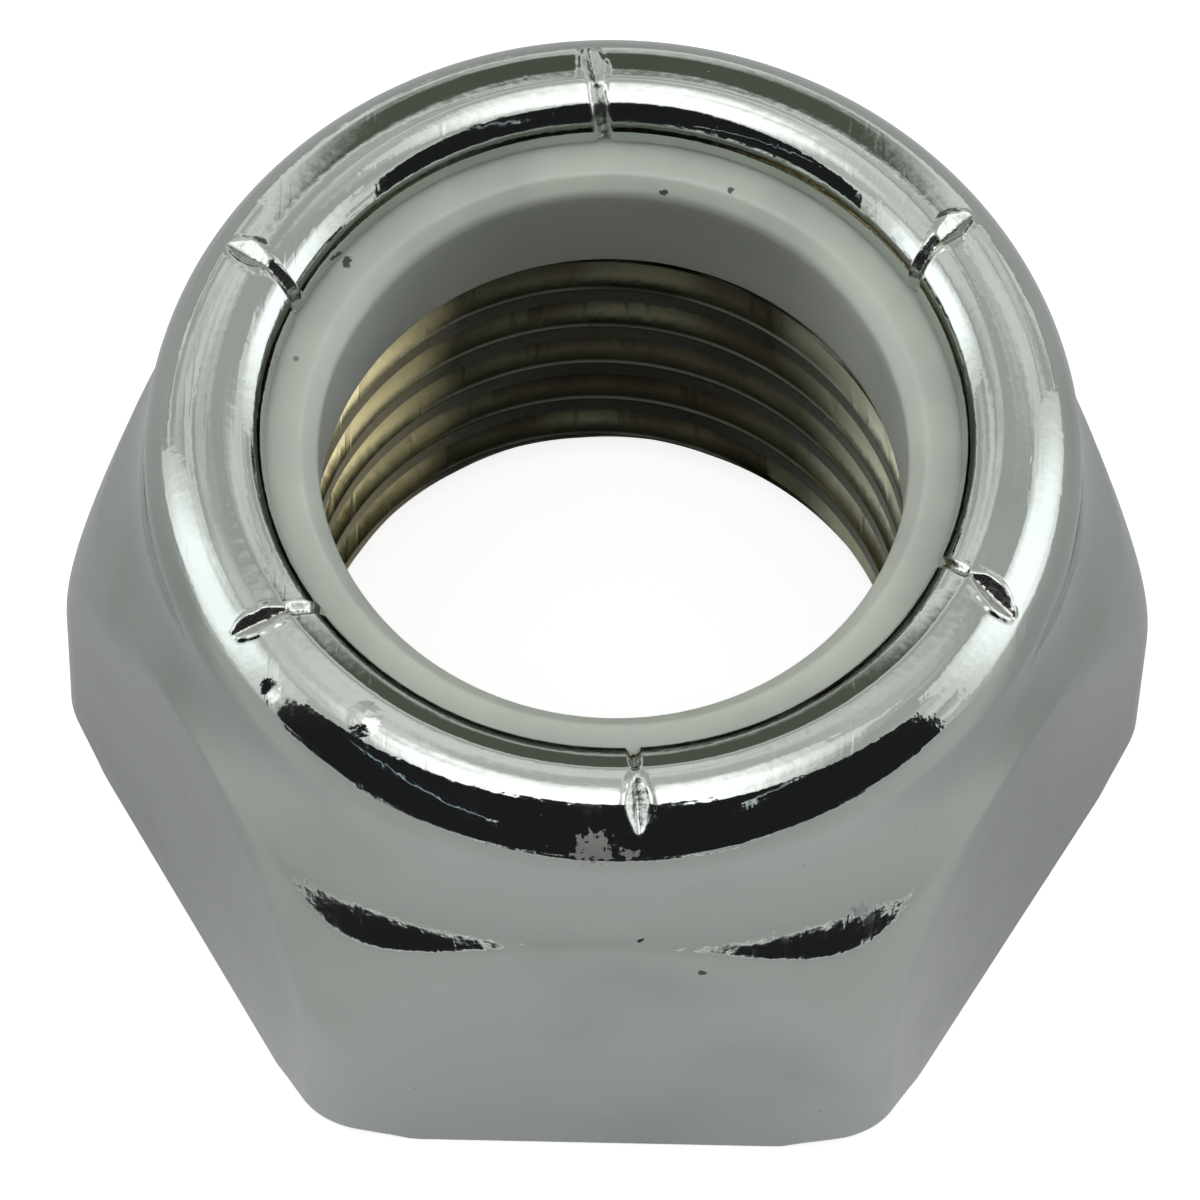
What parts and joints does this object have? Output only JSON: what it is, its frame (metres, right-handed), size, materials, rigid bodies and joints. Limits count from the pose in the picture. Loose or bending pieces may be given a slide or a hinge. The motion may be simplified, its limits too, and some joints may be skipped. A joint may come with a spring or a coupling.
{
  "type": "nylon insert lock nut",
  "caption": "Plated steel hexagon lock nut whose raised collar is rolled over, in a nicked lip, on a nylon ring that grips the bolt's thread.",
  "frame": {"origin": "centre of the bearing face, on the thread's axis, at the nut's underside", "axes": "+Z along the thread's axis, from the bearing face towards the nylon insert; -Y is the outward normal of one flat, and +X points to a corner of the hexagon"},
  "size_m": [0.018, 0.0158, 0.0107],
  "materials": {
    "chrome_plating": "bright plating with a faint orange peel",
    "nylon": "natural translucent nylon, satin"
  },
  "bodies": {
    "root": {"nut_body": "chrome_plating", "nylon_insert": "nylon"}
  },
  "joints": []
}
